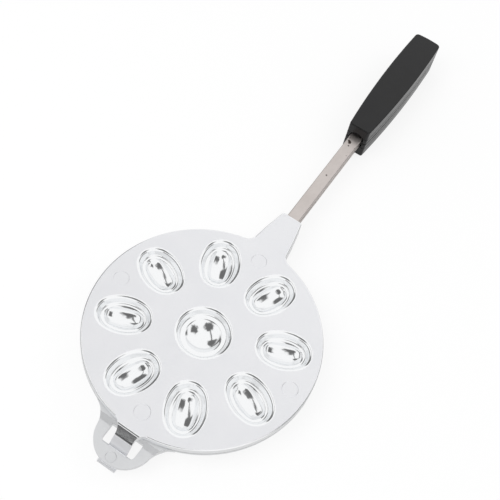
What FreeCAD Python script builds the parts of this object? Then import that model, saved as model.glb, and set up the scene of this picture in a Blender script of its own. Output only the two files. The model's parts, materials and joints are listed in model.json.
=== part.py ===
import FreeCAD, Part
import math
import os

# Walnut cookie mold: two cast aluminium plates that hook together at one side,
# each with a steel bar and a two-piece plastic grip at the other side.
# Frame: +X from the plates' centre along the handle, +Z up, the upper plate on top.
# The origin is under the plates' centre, on the plane that the domes and the lower grip rest on.
# All lengths are millimetres and all angles are degrees.

os.makedirs("parts", exist_ok=True)

# Plates
rim_width = 4.05
upper_rim_height = 5.0
lower_rim_height = 3.9
plate_gap = 0.3
upper_edge_round = 1.0
lower_edge_round = 1.6

# The ring of walnut hollows in the upper plate's outer face
hollow_count = 8
first_hollow_angle = 22.5
ledge_half_length = 15.8
ledge_half_width = 10.4
ledge_end_share = 0.76
ledge_depth = 4.8
ledge_corner_round = 0.8
mouth_end_run = 2.7
mouth_side_run = 3.1
mouth_end_share = 0.778
mouth_lip = 1.4
bowl_end_shelf = 1.1
bowl_side_shelf = 1.5
bowl_end_share = 0.806
bowl_depth = 5.0
lobe_count = 7
lobe_radius = 2.3
lobe_swell = 0.4
lobe_step_angle = 17.5

# The round hollow in the middle
centre_ledge_radius = 15.2
centre_mouth_run = 3.3
centre_shelf = 2.6
centre_bowl_depth = 4.6

# Walls of the castings, and the room for dough between them
punch_wall = 3.0
punch_draft = 0.8
dough_gap = 3.3
dough_floor = 6.0
cavity_end_share = 0.76
nut_web = 7.815
dome_wall = 2.9
dome_side_wall = 3.5
nut_rib_width = 1.8
nut_rib_height = 0.9
nut_rib_count = 3
nut_rib_step_angle = 29.0

# Round marks that the casting's ejector pins leave on the upper plate
mark_inset = 12.6
mark_radius = 5.5
mark_depth = 0.25
mark_count = 4

# Neck of each plate, where its bar is held
neck_side_wall = 3.15
neck_mid_flare = 3.3
neck_root_flare = 4.0
neck_mid_length = 16.5
neck_length = 32.7
neck_height = 7.0
neck_root_inset = 10.0
neck_fillet = 7.0
neck_corner_round = 2.2
neck_edge_round = 1.2
neck_step_clearance = 0.7

# Steel bars
bar_width = 9.5
bar_thickness = 3.5
bar_edge_round = 0.7
bar_floor = 1.3
bar_socket_depth = 26.5
bar_fit = 0.06
bar_end_gap = 0.3
neck_pin_radius = 1.6
neck_pin_setback = 12.7
neck_pin_bite = 1.1
pin_fit = 0.02

# Grips
handle_drop = 2.0
handle_gap = 0.3
bar_free_length = 95.3
grip_length = 117.5
grip_front_half_width = 8.7
grip_belly_half_width = 12.1
grip_belly_setback = 60.0
grip_rear_half_width = 11.0
grip_rear_bulge = 0.8
grip_corner_round = 3.0
grip_edge_round = 1.0
grip_seam_round = 0.35
inner_shell_height = 5.0
grip_wall = 2.4
grip_mouth_depth = 7.5
grip_mouth_side_gap = 1.35
grip_mouth_wall = 4.0
bar_reach_in_grip = 92.0
screw_first_setback = 27.0
screw_second_inset = 15.0
screw_radius = 1.5
screw_head_radius = 2.9
screw_head_height = 1.1
screw_sink = 0.1
screw_bite = 5.6
screw_slot_width = 0.7
screw_slot_depth = 0.5
screw_boss_radius = 4.2
screw_fit = 0.03
screw_hole_clearance = 0.2

# Hinge: the upper plate's tongue hooks round the cross bar of the lower plate's tab
tab_radius = 20.0
tab_centre_reach = 4.0
tab_drop = 3.0
tab_thickness = 3.6
tab_ramp_length = 3.4
tab_fillet = 11.0
tab_edge_round = 1.0
tab_mark_radius = 3.6
tab_mark_setback = 4.4
window_ledge = 1.6
window_half_width = 12.0
window_corner_round = 4.2
hinge_reach = 14.8
hook_clearance = 0.3
hook_thickness = 3.0
hook_width = 13.0
hook_arm_length = 10.0
hook_slope_angle = 45.0
hook_crest_round = 2.0
hook_inner_round = 1.2

# One overrun serves every cut that has to pass its surface
overrun = 1.0

# The ring of nuts and the plates that hold it
cavity_half_length = ledge_half_length + punch_wall + dough_gap
cavity_half_width = ledge_half_width + punch_wall + dough_gap
hollow_ring_radius = (cavity_half_width + nut_web / 2) / math.sin(math.pi / hollow_count)
plate_radius = hollow_ring_radius + cavity_half_length + rim_width
mark_ring_radius = plate_radius - mark_inset
mouth_half_length = ledge_half_length + mouth_end_run
mouth_half_width = ledge_half_width + mouth_side_run
bowl_half_length = ledge_half_length - bowl_end_shelf
bowl_half_width = ledge_half_width - bowl_side_shelf
ledge_end_radius = ledge_half_width * ledge_end_share
mouth_end_radius = mouth_half_width * mouth_end_share
centre_mouth_radius = centre_ledge_radius + centre_mouth_run
centre_bowl_radius = centre_ledge_radius - centre_shelf
centre_cavity_radius = centre_ledge_radius + punch_wall + dough_gap

# Heights, from the resting plane up
plate_top = ledge_depth + bowl_depth + punch_wall + dough_floor + dome_wall
upper_under = plate_top - upper_rim_height
parting_top = upper_under - plate_gap
lower_under = parting_top - lower_rim_height
handle_mid = parting_top + plate_gap / 2 - handle_drop
upper_inner_z = handle_mid + handle_gap / 2
grip_height = handle_mid - handle_gap / 2
grip_top = upper_inner_z + grip_height
bar_bottom = upper_inner_z + bar_floor
bar_top = bar_bottom + bar_thickness
shell_split = upper_inner_z + inner_shell_height

# Neck and grip widths
neck_tip_half_width = bar_width / 2 + neck_side_wall
neck_mid_half_width = neck_tip_half_width + neck_mid_flare
neck_root_half_width = neck_mid_half_width + neck_root_flare
grip_mouth_radius = bar_width / 2 + grip_mouth_side_gap

# Places along the handle
neck_mid_x = plate_radius + neck_mid_length
neck_tip_x = plate_radius + neck_length
grip_start_x = neck_tip_x + bar_free_length
grip_belly_x = grip_start_x + grip_belly_setback
bar_start_x = neck_tip_x - bar_socket_depth
neck_pin_x = neck_tip_x - neck_pin_setback
grip_end_x = grip_start_x + grip_length
bar_end_x = grip_start_x + bar_reach_in_grip
screw_xs = (grip_start_x + screw_first_setback, bar_end_x - screw_second_inset)

# Hinge places and heights
tab_centre_x = -plate_radius - tab_centre_reach
tab_ramp_start_x = -plate_radius
tab_ramp_end_x = tab_ramp_start_x - tab_ramp_length
tab_mark_x = -plate_radius - hinge_reach - tab_mark_setback
window_inner_x = -plate_radius - window_ledge
hinge_axis_x = -plate_radius - hinge_reach
hook_end_x = hinge_axis_x - hook_arm_length
tab_top = parting_top - tab_drop
tab_bottom = tab_top - tab_thickness
hinge_axis_z = tab_bottom + tab_thickness / 2
pivot_radius = tab_thickness / 2
pocket_radius = pivot_radius + hook_clearance

up = FreeCAD.Vector(0, 0, 1)
along = FreeCAD.Vector(1, 0, 0)
across = FreeCAD.Vector(0, 1, 0)
origin = FreeCAD.Vector(0, 0, 0)


def point(x, y, z):
    return FreeCAD.Vector(x, y, z)


def line(a, b):
    return Part.LineSegment(a, b).toShape()


def arc(a, middle, b):
    return Part.Arc(a, middle, b).toShape()


def prism(edges, height):
    """A solid from a closed outline, raised by a height along +Z."""
    return Part.Face(Part.Wire(edges)).extrude(up * height)


def slab(corners, width):
    """A solid from corners in the XZ plane, as wide as told and centred on Y."""
    points = [point(x, -width / 2, z) for x, z in corners]
    outline = Part.makePolygon(points + points[:1])
    return Part.Face(outline).extrude(across * width)


def block(x0, x1, y0, y1, z0, z1):
    return Part.makeBox(x1 - x0, y1 - y0, z1 - z0, point(x0, y0, z0))


def rod(radius, x, y, z0, z1):
    return Part.makeCylinder(radius, z1 - z0, point(x, y, z0), up)


def fuse_all(first, others):
    return first.multiFuse(others).removeSplitter()


def round_edges(shape, radius, wanted):
    """Rounds the edges that the test picks."""
    edges = [edge for edge in shape.Edges if wanted(edge)]
    return shape.makeFillet(radius, edges)


def is_upright(edge):
    box = edge.BoundBox
    return box.XLength + box.YLength < pin_fit and box.ZLength > hook_clearance


def lies_at(edge, z):
    box = edge.BoundBox
    return abs(box.ZMin - z) < pin_fit and abs(box.ZMax - z) < pin_fit


def turned(shape, angle):
    copy = shape.copy()
    copy.rotate(origin, up, angle)
    return copy


def on_the_ring(shape):
    """Copies of a shape that is made at its ring radius on +X, one for each walnut."""
    step = 360.0 / hollow_count
    return [turned(shape, first_hollow_angle + step * index) for index in range(hollow_count)]


def oval_side(half_length, half_width, end_radius):
    """The long side's arc radius, and where it meets the end's arc."""
    reach = half_length - end_radius
    side_radius = (reach ** 2 + half_width ** 2 - end_radius ** 2) / (2 * (half_width - end_radius))
    tilt = math.atan2(side_radius - half_width, reach)
    return side_radius, reach + end_radius * math.cos(tilt), end_radius * math.sin(tilt)


def oval(half_length, half_width, end_radius, z):
    """An oval of four tangent arcs, round the ring radius on +X."""
    joint_x, joint_y = oval_side(half_length, half_width, end_radius)[1:]
    cx = hollow_ring_radius
    east, west = cx + joint_x, cx - joint_x
    return Part.Wire([
        arc(point(east, -joint_y, z), point(cx + half_length, 0, z), point(east, joint_y, z)),
        arc(point(east, joint_y, z), point(cx, half_width, z), point(west, joint_y, z)),
        arc(point(west, joint_y, z), point(cx - half_length, 0, z), point(west, -joint_y, z)),
        arc(point(west, -joint_y, z), point(cx, -half_width, z), point(east, -joint_y, z)),
    ])


def oval_step(lower, upper):
    """A solid between two ovals, each given as half length, half width, end radius and height."""
    return Part.makeLoft([oval(*lower), oval(*upper)], True, True)


def nut_sizes(half_length, half_width, end_share, depth):
    """Half length, middle radius, end radius and axis height of a nut that meets a plane in the half sizes."""
    middle_radius = (half_width ** 2 / depth + depth) / 2
    axis_lift = middle_radius - depth
    end_radius = middle_radius * end_share
    reach = half_length - math.sqrt(end_radius ** 2 - axis_lift ** 2)
    return reach + end_radius, middle_radius, end_radius, axis_lift


def nut_body(sizes, plane_z, grow):
    """The part below a plane of a round-ended nut that is turned about its long axis.

    grow makes the body larger all round."""
    half_length, middle_radius, end_radius, axis_lift = sizes
    half_length += grow
    middle_radius += grow
    end_radius += grow
    side_radius, joint_x, joint_z = oval_side(half_length, middle_radius, end_radius)
    centre = point(hollow_ring_radius, 0, plane_z + axis_lift)
    reach = half_length - end_radius
    steep = math.atan2(joint_z, joint_x - reach) / 2
    bend_x = reach + end_radius * math.cos(steep)
    bend_z = end_radius * math.sin(steep)
    west_tip = centre - along * half_length
    west_joint = centre - along * joint_x - up * joint_z
    east_joint = centre + along * joint_x - up * joint_z
    east_tip = centre + along * half_length
    section = Part.Face(Part.Wire([
        arc(west_tip, centre - along * bend_x - up * bend_z, west_joint),
        arc(west_joint, centre - up * middle_radius, east_joint),
        arc(east_joint, centre + along * bend_x - up * bend_z, east_tip),
        line(east_tip, west_tip),
    ]))
    body = section.revolve(centre, along, 360.0)
    below = block(west_tip.x - overrun, east_tip.x + overrun, -half_length, half_length,
                  plane_z - half_length, plane_z)
    return body.common(below)


def nut_beads(sizes, plane_z, count, step_angle, radius, sink):
    """Rods bent along the sides of a nut, fanned round its long axis."""
    half_length, middle_radius, end_radius, axis_lift = sizes
    side_radius = oval_side(half_length, middle_radius, end_radius)[0]
    centre = point(hollow_ring_radius, 0, plane_z + axis_lift)
    beads = []
    for index in range(count):
        bead = Part.makeTorus(side_radius - sink, radius, centre + up * (side_radius - middle_radius), across)
        bead.rotate(centre, along, step_angle * (index - (count - 1) / 2))
        beads.append(bead)
    return beads


def turned_profile(points, sag_depth):
    """A solid turned about the Z axis: straight steps, then a round bottom of the given depth."""
    corners = [point(radius, 0, z) for radius, z in points]
    edges = [line(a, b) for a, b in zip(corners, corners[1:])]
    rim = corners[-1]
    bottom = point(0, 0, rim.z - sag_depth)
    ball = (rim.x ** 2 / sag_depth + sag_depth) / 2
    half = math.asin(rim.x / ball) / 2
    between = point(ball * math.sin(half), 0, bottom.z + ball * (1 - math.cos(half)))
    edges.append(arc(rim, between, bottom))
    top = point(0, 0, corners[0].z)
    edges.append(line(bottom, top))
    edges.append(line(top, corners[0]))
    return Part.Face(Part.Wire(edges)).revolve(origin, up, 360.0)


# Sizes that the hollows, punches, cavities and domes share
ledge_z = plate_top - ledge_depth
bowl = nut_sizes(bowl_half_length, bowl_half_width, bowl_end_share, bowl_depth)
punch_shoulder_z = ledge_z - punch_wall
cavity_depth = parting_top - dome_wall
cavity = nut_sizes(cavity_half_length, cavity_half_width, cavity_end_share, cavity_depth)


def make_hollow():
    """One walnut hollow: a steep wall, a ledge and a bowl with lobes along it."""
    mouth = (mouth_half_length, mouth_half_width, mouth_end_radius)
    ledge = (ledge_half_length, ledge_half_width, ledge_end_radius)
    wall = oval_step(ledge + (ledge_z,), mouth + (plate_top,))
    wall = round_edges(wall, ledge_corner_round, lambda edge: lies_at(edge, ledge_z))
    above = Part.Face(oval(*mouth, plate_top)).extrude(up * overrun)
    limit = nut_body(bowl, ledge_z, lobe_swell)
    sink = lobe_radius - lobe_swell
    lobes = nut_beads(bowl, ledge_z, lobe_count, lobe_step_angle, lobe_radius, sink)
    lobes = [lobe.common(limit) for lobe in lobes]
    return fuse_all(nut_body(bowl, ledge_z, 0), [wall, above] + lobes)


def make_punch():
    """The back of one hollow, which stands out of the upper plate's inner face."""
    length = ledge_half_length + punch_wall
    width = ledge_half_width + punch_wall
    end = ledge_end_radius + punch_wall
    head = (length, width, end, upper_under + upper_rim_height / 2)
    foot = (length - punch_draft, width - punch_draft, end - punch_draft, punch_shoulder_z)
    shoulder = oval_step(foot, head)
    return fuse_all(shoulder, [nut_body(bowl, ledge_z, punch_wall)])


def make_cavity():
    """One walnut cavity of the lower plate, with the ribs of a nut shell."""
    half_length, middle_radius, end_radius, axis_lift = cavity
    centre = point(hollow_ring_radius, 0, parting_top + axis_lift)
    fins = []
    for index in range(nut_rib_count):
        fin = block(centre.x - half_length, centre.x + half_length, -nut_rib_width / 2, nut_rib_width / 2,
                    centre.z - middle_radius - overrun, centre.z)
        fin.rotate(centre, along, nut_rib_step_angle * (index - (nut_rib_count - 1) / 2))
        fins.append(fin)
    between_ribs = nut_body(cavity, parting_top, 0).cut(fins)
    return fuse_all(nut_body(cavity, parting_top, -nut_rib_height), [between_ribs])


def make_dome():
    """The outside of one cavity, under the lower plate."""
    return nut_body(cavity, parting_top, dome_side_wall)


def centre_hollow(grow, floor_grow, top_z):
    """The round hollow in the middle, or its back when it is grown by a wall."""
    steps = [
        (centre_mouth_radius + grow, top_z),
        (centre_mouth_radius + grow, plate_top - floor_grow),
        (centre_ledge_radius + grow, ledge_z - floor_grow),
        (centre_bowl_radius + grow, ledge_z - floor_grow),
    ]
    return turned_profile(steps, centre_bowl_depth)


def centre_bowl(grow):
    """The round cavity in the middle, or the outside of its dome."""
    radius = centre_cavity_radius + grow
    return turned_profile([(radius, parting_top)], cavity_depth + grow)


def neck_outline(z, height):
    """The neck's outline, from inside the disc to its tip."""
    inside = plate_radius - neck_root_inset
    half = [
        (inside, neck_root_half_width), (neck_mid_x, neck_mid_half_width),
        (neck_tip_x, neck_tip_half_width),
    ]
    corners = [point(x, -y, z) for x, y in half] + [point(x, y, z) for x, y in reversed(half)]
    body = Part.Face(Part.makePolygon(corners + corners[:1])).extrude(up * height)
    return round_edges(body, neck_corner_round,
                       lambda edge: is_upright(edge) and edge.BoundBox.XMin > neck_tip_x - pin_fit)


def disc(z, height):
    return rod(plate_radius, 0, 0, z, z + height)


def at_disc_edge(edge):
    """An upright edge where the neck or the tab runs into the disc."""
    if not is_upright(edge):
        return False
    box = edge.BoundBox
    return abs(math.hypot(box.XMin, box.YMin) - plate_radius) < pin_fit


def bar_socket(x1):
    half = bar_width / 2 + bar_fit
    return block(bar_start_x - bar_end_gap, x1, -half, half, bar_bottom - bar_fit, bar_top + bar_fit)


def neck_pin_hole(grow):
    return rod(neck_pin_radius + grow, neck_pin_x, 0, upper_inner_z - overrun, bar_top + neck_pin_bite)


def mirrored(shape):
    """The lower half's copy of a piece of the upper half's handle."""
    return shape.mirror(point(0, 0, handle_mid), up)


def make_hook():
    """The tongue that slopes down from the upper plate and hooks under the cross bar."""
    slope = math.radians(hook_slope_angle)
    run = math.cos(slope) / math.sin(slope)
    offset = pocket_radius / math.sin(slope)
    crest_x = hinge_axis_x + offset + run * (plate_top - hinge_axis_z)
    inner_shift = hook_thickness / math.sin(slope)
    arm_top = hinge_axis_z - pocket_radius
    arm_bottom = arm_top - hook_thickness
    pocket_x = crest_x - run * (plate_top - arm_top)
    corners = [
        (-plate_radius + hook_crest_round, plate_top),
        (crest_x, plate_top),
        (pocket_x, arm_top),
        (hook_end_x, arm_top),
        (hook_end_x, arm_bottom),
        (crest_x + inner_shift - run * (plate_top - arm_bottom), arm_bottom),
        (crest_x + inner_shift - run * upper_rim_height, upper_under),
        (-plate_radius + hook_crest_round, upper_under),
    ]
    tongue = slab(corners, hook_width)
    places = {1: hook_crest_round, 2: hook_inner_round, 3: hook_inner_round, 4: hook_inner_round,
              5: hook_thickness}
    for index, radius in places.items():
        x, z = corners[index]
        tongue = round_edges(tongue, radius, lambda edge: abs(edge.BoundBox.XMin - x) < pin_fit
                             and abs(edge.BoundBox.ZMin - z) < pin_fit
                             and edge.BoundBox.YLength > hook_width / 2
                             and edge.BoundBox.ZLength < pin_fit)
    return tongue


def make_upper_plate():
    plan = disc(upper_under, upper_rim_height).fuse(neck_outline(upper_under, upper_rim_height))
    plan = plan.removeSplitter()
    plan = round_edges(plan, neck_fillet, at_disc_edge)
    plan = round_edges(plan, upper_edge_round, lambda edge: lies_at(edge, plate_top))
    deep = neck_outline(upper_inner_z, upper_under - upper_inner_z + upper_rim_height / 2)
    deep = deep.cut(rod(plate_radius + neck_step_clearance, 0, 0, 0, plate_top + overrun))
    punches = on_the_ring(make_punch())
    centre = centre_hollow(punch_wall, punch_wall, plate_top)
    centre = centre.common(disc(0, upper_under + upper_rim_height / 2))
    body = fuse_all(plan, [deep, make_hook(), centre] + punches)
    body = body.cut(on_the_ring(make_hollow()) + [centre_hollow(0, 0, plate_top + overrun)])
    body = round_edges(body, mouth_lip, is_mouth_edge)
    cuts = []
    for index in range(mark_count):
        mark = rod(mark_radius, mark_ring_radius, 0, plate_top - mark_depth, plate_top + overrun)
        cuts.append(turned(mark, 360.0 / mark_count * index))
    cuts.append(bar_socket(neck_tip_x + overrun))
    cuts.append(neck_pin_hole(pin_fit))
    return body.cut(cuts)


def is_mouth_edge(edge):
    """An edge of a hollow's mouth in the upper plate's top face."""
    box = edge.BoundBox
    middle = math.hypot((box.XMin + box.XMax) / 2, (box.YMin + box.YMax) / 2)
    within = middle < hollow_ring_radius + mouth_half_length + mouth_lip
    return lies_at(edge, plate_top) and within and box.XLength + box.YLength < 4 * mouth_half_length + mouth_lip


def make_tab():
    """The lower plate's tab: a round flap, stepped down from the plate by a ramp."""
    tip_x = tab_centre_x - tab_radius - overrun
    inside_x = -plate_radius + neck_root_inset
    under_step = tab_ramp_start_x - tab_ramp_end_x
    corners = [
        (inside_x, parting_top), (tab_ramp_start_x, parting_top), (tab_ramp_end_x, tab_top),
        (tip_x, tab_top), (tip_x, tab_bottom), (tab_ramp_start_x, tab_bottom),
        (tab_ramp_start_x + under_step, lower_under), (inside_x, lower_under),
    ]
    profile = slab(corners, 2 * plate_radius)
    flap = rod(tab_radius, tab_centre_x, 0, tab_bottom, parting_top)
    plan = disc(tab_bottom, parting_top - tab_bottom).fuse(flap).removeSplitter()
    plan = round_edges(plan, tab_fillet, at_disc_edge)
    plan = round_edges(plan, tab_edge_round, lambda edge: lies_at(edge, tab_bottom))
    return plan.common(profile)


def make_window():
    """The opening in the tab, from the disc's edge to the cross bar's rounded inner edge."""
    window = block(hinge_axis_x, window_inner_x, -window_half_width, window_half_width,
                   tab_bottom - overrun, parting_top + overrun)
    window = round_edges(window, window_corner_round,
                         lambda edge: is_upright(edge) and edge.BoundBox.XMax < window_inner_x)
    pivot = Part.makeCylinder(pivot_radius, 2 * window_half_width,
                              point(hinge_axis_x, -window_half_width, hinge_axis_z), across)
    return window.cut(pivot)


def make_lower_plate():
    plate = disc(lower_under, lower_rim_height)
    plate = round_edges(plate, lower_edge_round, lambda edge: lies_at(edge, lower_under))
    neck_top = 2 * handle_mid - upper_inner_z
    neck = neck_outline(neck_top - neck_height, neck_height)
    neck = round_edges(neck, neck_edge_round, lambda edge: lies_at(edge, neck_top - neck_height))
    domes = on_the_ring(make_dome())
    body = fuse_all(plate, [neck, make_tab(), centre_bowl(dome_side_wall)] + domes)
    cuts = on_the_ring(make_cavity())
    cuts.append(centre_bowl(0))
    cuts.append(make_window())
    cuts.append(rod(tab_mark_radius, tab_mark_x, 0, tab_top - mark_depth, tab_top + overrun))
    cuts.append(mirrored(bar_socket(neck_tip_x + overrun)))
    cuts.append(mirrored(neck_pin_hole(pin_fit)))
    reach = plate_radius + neck_length + overrun
    cuts.append(block(-reach, reach, -reach, reach, -plate_top, 0))
    return body.cut(cuts)


def make_bar():
    """The upper half's steel bar, with holes for its pin and the two grip screws."""
    half = bar_width / 2
    bar = block(bar_start_x, bar_end_x, -half, half, bar_bottom, bar_top)
    long_enough = bar_width + bar_thickness
    bar = round_edges(bar, bar_edge_round, lambda edge: edge.BoundBox.XLength > long_enough)
    holes = [neck_pin_hole(pin_fit)]
    for x in screw_xs:
        holes.append(rod(screw_radius + screw_hole_clearance, x, 0, bar_bottom - overrun, bar_top + overrun))
    return bar.cut(holes)


def make_neck_pin():
    return rod(neck_pin_radius, neck_pin_x, 0, upper_inner_z + screw_sink, bar_top + neck_pin_bite - screw_sink)


def grip_outline(inset, z, height):
    """The grip's outline seen from above, drawn in by an inset all round."""
    x0 = grip_start_x + inset
    x1 = grip_end_x - inset
    front = grip_front_half_width - inset
    belly = grip_belly_half_width - inset
    rear = grip_rear_half_width - inset
    body = prism([
        arc(point(x0, front, z), point(grip_belly_x, belly, z), point(x1, rear, z)),
        arc(point(x1, rear, z), point(x1 + grip_rear_bulge, 0, z), point(x1, -rear, z)),
        arc(point(x1, -rear, z), point(grip_belly_x, -belly, z), point(x0, -front, z)),
        line(point(x0, -front, z), point(x0, front, z)),
    ], height)
    return round_edges(body, grip_corner_round,
                       lambda edge: is_upright(edge) and edge.BoundBox.XMin > grip_belly_x)


def grip_mouth():
    """The room round the bar in the grip's front end: an arch above it and a trough beside it."""
    end_x = grip_start_x + grip_mouth_depth
    start_x = grip_start_x - overrun
    arch = Part.makeCylinder(grip_mouth_radius, end_x - start_x, point(start_x, 0, bar_bottom), along)
    keep = block(start_x, end_x, -grip_mouth_radius, grip_mouth_radius, bar_bottom, grip_top)
    return arch.common(keep)


def make_outer_shell():
    """The grip's outer shell, hollow above the bar, with two bosses for the screws."""
    height = grip_top - shell_split
    shell = grip_outline(0, shell_split, height)
    shell = round_edges(shell, grip_edge_round, lambda edge: lies_at(edge, grip_top))
    shell = round_edges(shell, grip_seam_round, lambda edge: lies_at(edge, shell_split))
    room = grip_outline(grip_wall, shell_split - overrun, height - grip_wall + overrun)
    front = grip_start_x + grip_mouth_depth + grip_mouth_wall
    room = room.cut(block(grip_start_x, front, -grip_belly_half_width, grip_belly_half_width, 0, grip_top))
    bosses = [rod(screw_boss_radius, x, 0, 0, grip_top) for x in screw_xs]
    room = room.cut(bosses)
    cuts = [room, grip_mouth()]
    for x in screw_xs:
        cuts.append(rod(screw_radius + screw_fit, x, 0, shell_split - overrun, shell_split + screw_bite + screw_sink))
    return shell.cut(cuts)


def screw_body(grow, length_end):
    """A countersunk screw's shape, pointing up from the grip's inner face."""
    screws = []
    for x in screw_xs:
        face = upper_inner_z + screw_sink
        head = Part.makeCone(screw_head_radius + grow, screw_radius + grow, screw_head_height,
                             point(x, 0, face), up)
        shank = rod(screw_radius + grow, x, 0, face, length_end)
        screws.append(head.fuse(shank))
    return screws


def make_inner_shell():
    """The grip's inner shell: a flat cover with a channel in which the bar lies."""
    shell = grip_outline(0, upper_inner_z, inner_shell_height)
    shell = round_edges(shell, grip_seam_round, lambda edge: lies_at(edge, shell_split))
    shell = round_edges(shell, grip_seam_round, lambda edge: lies_at(edge, upper_inner_z))
    half = bar_width / 2 + bar_fit
    channel = block(grip_start_x - overrun, bar_end_x + bar_end_gap, -half, half,
                    bar_bottom, shell_split + overrun)
    cuts = [channel, grip_mouth()]
    cuts += screw_body(screw_hole_clearance, shell_split)
    for x in screw_xs:
        cuts.append(rod(screw_head_radius + screw_hole_clearance, x, 0, upper_inner_z - overrun,
                        upper_inner_z + screw_sink))
    return shell.cut(cuts)


def make_screws():
    """Two slotted countersunk screws, as one group of separate solids."""
    screws = []
    for x, screw in zip(screw_xs, screw_body(0, shell_split + screw_bite)):
        slot = block(x - screw_head_radius, x + screw_head_radius, -screw_slot_width / 2, screw_slot_width / 2,
                     upper_inner_z, upper_inner_z + screw_sink + screw_slot_depth)
        screws.append(screw.cut(slot))
    return Part.makeCompound(screws)


def save(name, shape):
    count = len(shape.Solids)
    box = shape.BoundBox
    print(name, "solids", count, "valid", shape.isValid(), "volume", round(shape.Volume / 1000, 2), "cm3",
          "x", round(box.XMin, 1), round(box.XMax, 1), "z", round(box.ZMin, 2), round(box.ZMax, 2))
    shape.exportStep("parts/" + name + ".step")


save("upper_plate", make_upper_plate())
save("lower_plate", make_lower_plate())

handle_pieces = {
    "bar": make_bar(),
    "bar_pin": make_neck_pin(),
    "grip_outer_shell": make_outer_shell(),
    "grip_inner_shell": make_inner_shell(),
    "grip_screws": make_screws(),
}
for name, piece in handle_pieces.items():
    save("upper_" + name, piece)
    save("lower_" + name, mirrored(piece))

print("hinge axis x", hinge_axis_x, "z", round(hinge_axis_z, 3), "plate top", round(plate_top, 3),
      "grip top", round(grip_top, 3), "handle mid", round(handle_mid, 3))
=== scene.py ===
# %% [markdown]
# # A walnut cookie mold
# Two round aluminium castings close like a book. Each one carries a flat steel bar, and each bar ends in
# a black plastic grip made of two shells. This lesson models the visible pieces one by one, gives each
# one its finish, and sets the studio round them. Lengths are written in millimetres and turned to metres.

# %% Load the frame
import bmesh
import bpy
import json
import math
from mathutils import Matrix, Vector

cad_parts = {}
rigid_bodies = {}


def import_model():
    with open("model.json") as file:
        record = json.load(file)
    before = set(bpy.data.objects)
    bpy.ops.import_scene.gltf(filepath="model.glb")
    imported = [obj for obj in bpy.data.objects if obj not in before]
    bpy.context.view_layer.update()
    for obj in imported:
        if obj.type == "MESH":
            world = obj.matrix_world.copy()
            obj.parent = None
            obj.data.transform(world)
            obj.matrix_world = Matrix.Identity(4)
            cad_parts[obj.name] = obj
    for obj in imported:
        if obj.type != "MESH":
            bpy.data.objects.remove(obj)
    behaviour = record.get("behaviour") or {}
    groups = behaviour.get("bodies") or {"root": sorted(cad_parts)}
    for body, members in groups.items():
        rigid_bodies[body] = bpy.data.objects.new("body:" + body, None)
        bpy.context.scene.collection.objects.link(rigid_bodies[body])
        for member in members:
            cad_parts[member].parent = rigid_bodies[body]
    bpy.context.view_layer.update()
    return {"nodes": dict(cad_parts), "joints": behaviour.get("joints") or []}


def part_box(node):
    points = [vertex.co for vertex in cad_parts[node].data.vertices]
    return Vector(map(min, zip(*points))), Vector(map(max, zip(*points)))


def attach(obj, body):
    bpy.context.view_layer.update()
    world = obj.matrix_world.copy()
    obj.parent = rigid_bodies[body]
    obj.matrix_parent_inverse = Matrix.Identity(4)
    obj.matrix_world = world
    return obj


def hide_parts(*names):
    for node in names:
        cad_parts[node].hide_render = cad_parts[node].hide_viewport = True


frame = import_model()
MM = 0.001
print("nodes", sorted(frame["nodes"]))

# %% [markdown]
# ## Working by hand
# Every operator acts on what is selected, so a helper leaves only one object selected before any step.
# Another helper opens a mesh, marks the faces, edges or corners that pass a test on their place, runs an
# operator on them and closes the mesh again.

# %% Selecting and editing
def only(obj):
    for other in bpy.context.selected_objects:
        other.select_set(False)
    bpy.context.view_layer.objects.active = obj
    obj.select_set(True)


def open_mesh(obj, mode="VERT"):
    only(obj)
    bpy.ops.object.mode_set(mode="EDIT")
    bpy.ops.mesh.select_mode(type=mode)
    bpy.ops.mesh.select_all(action="DESELECT")


def close_mesh():
    bpy.ops.object.mode_set(mode="OBJECT")


def mark(obj, kind, test):
    """Selects what passes the test, in an open mesh, and returns how many there are."""
    shape = bmesh.from_edit_mesh(obj.data)
    items = {"VERT": shape.verts, "EDGE": shape.edges, "FACE": shape.faces}[kind]
    count = 0
    for item in items:
        if test(item):
            item.select_set(True)
            count += 1
    shape.select_flush_mode()
    bmesh.update_edit_mesh(obj.data)
    return count


def weld(threshold):
    """Merges the doubles of the whole open mesh. The threshold is in millimetres."""
    bpy.ops.mesh.select_all(action="SELECT")
    bpy.ops.mesh.remove_doubles(threshold=threshold * MM)
    bpy.ops.mesh.select_all(action="SELECT")


def face_outwards():
    bpy.ops.mesh.select_all(action="SELECT")
    bpy.ops.mesh.normals_make_consistent(inside=False)


def own_copy(obj):
    """A copy of a piece that has its own mesh."""
    copy = obj.copy()
    copy.data = obj.data.copy()
    bpy.context.collection.objects.link(copy)
    return copy


def settle(obj, name):
    """Names a piece and applies its place, so that its object sits at the origin."""
    only(obj)
    bpy.ops.object.transform_apply(location=True, rotation=True, scale=True)
    obj.name = name
    obj.data.name = name
    return obj


# %% [markdown]
# ## Drawing an outline
# A casting's outline is straight runs and tangent arcs. A pen starts as one corner point. A line extrudes
# that point, and an arc spins it about a centre. The closed outline is filled and extruded to a plate.
# The pen works in a level plane or in an upright one, for a shape that is drawn from the side.

# %% The pen
SAME_POINT, SAME_POLE = 0.002, 0.004


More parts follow.
